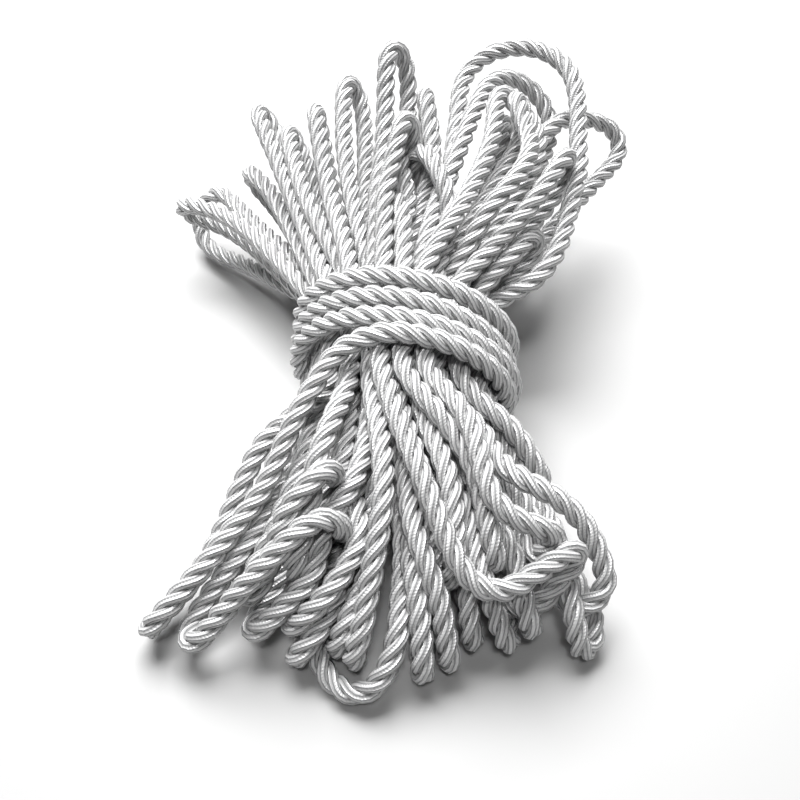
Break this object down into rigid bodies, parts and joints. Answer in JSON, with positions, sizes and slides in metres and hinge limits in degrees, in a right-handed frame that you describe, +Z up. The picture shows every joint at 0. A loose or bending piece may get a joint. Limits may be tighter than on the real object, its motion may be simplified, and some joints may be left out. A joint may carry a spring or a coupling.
{
  "type": "bound hank of twisted satin craft cord",
  "caption": "Hank of silver-white twisted satin cord lying on a surface, bound tightly round its middle with its own tail, its folded loops fanned out at both ends.",
  "frame": {"origin": "on the surface, under the middle of the binding", "axes": "+Z up, +Y along the hank from the low near pile of folds to the far fan of folds, +X to the right seen from the near end"},
  "size_m": [0.1364, 0.1763, 0.0679],
  "materials": {
    "cord": "silver-white satin, three plies, soft gloss"
  },
  "bodies": {
    "root": {"hank": "cord", "binding": "cord"}
  },
  "joints": []
}
